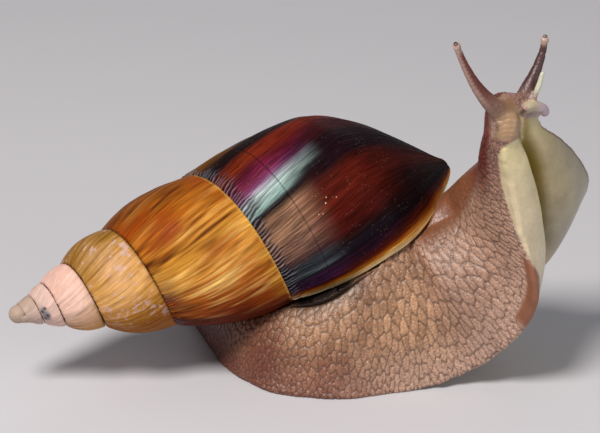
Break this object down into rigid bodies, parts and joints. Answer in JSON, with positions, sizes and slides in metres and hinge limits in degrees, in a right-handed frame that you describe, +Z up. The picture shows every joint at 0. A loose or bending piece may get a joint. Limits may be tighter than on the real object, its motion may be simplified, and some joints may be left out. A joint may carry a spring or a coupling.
{
  "type": "giant african land snail",
  "caption": "Life-size still museum model of a giant African land snail crawling with its head and the front of its foot raised.",
  "frame": {"origin": "centre of the whole animal's bounding box, on the floor it rests on", "axes": "+X forward along the shell from its apex toward the opening, +Y to the animal's left, +Z up"},
  "size_m": [0.149, 0.081, 0.1023],
  "materials": {
    "shell_cream": "glossy",
    "shell_ochre": "glossy",
    "shell_dark": "glossy",
    "shell_lip": "satin",
    "skin": "moist",
    "dark_skin": "moist",
    "sole": "moist",
    "lappet": "moist",
    "mantle": "moist",
    "eye": "glossy"
  },
  "bodies": {
    "root": {"shell_apex": "shell_cream", "shell_whorl_3": "shell_cream", "shell_whorl_4": "shell_cream", "shell_whorl_5": "shell_ochre", "shell_penultimate_whorl": "shell_ochre", "shell_body_whorl": "shell_dark", "shell_lip": "shell_lip", "shell_columella": "shell_cream", "mantle_collar": "mantle", "tail": "skin", "trunk": "skin", "foot_front": "skin", "neck": "skin", "sole_right": "sole", "sole_left": "sole", "head": "skin", "tentacle_upper_right": "dark_skin", "tentacle_upper_left": "dark_skin", "eye_right": "eye", "eye_left": "eye", "tentacle_lower_right": "lappet", "tentacle_lower_left": "lappet", "oral_lappet_right": "lappet", "oral_lappet_left": "lappet"}
  },
  "joints": []
}
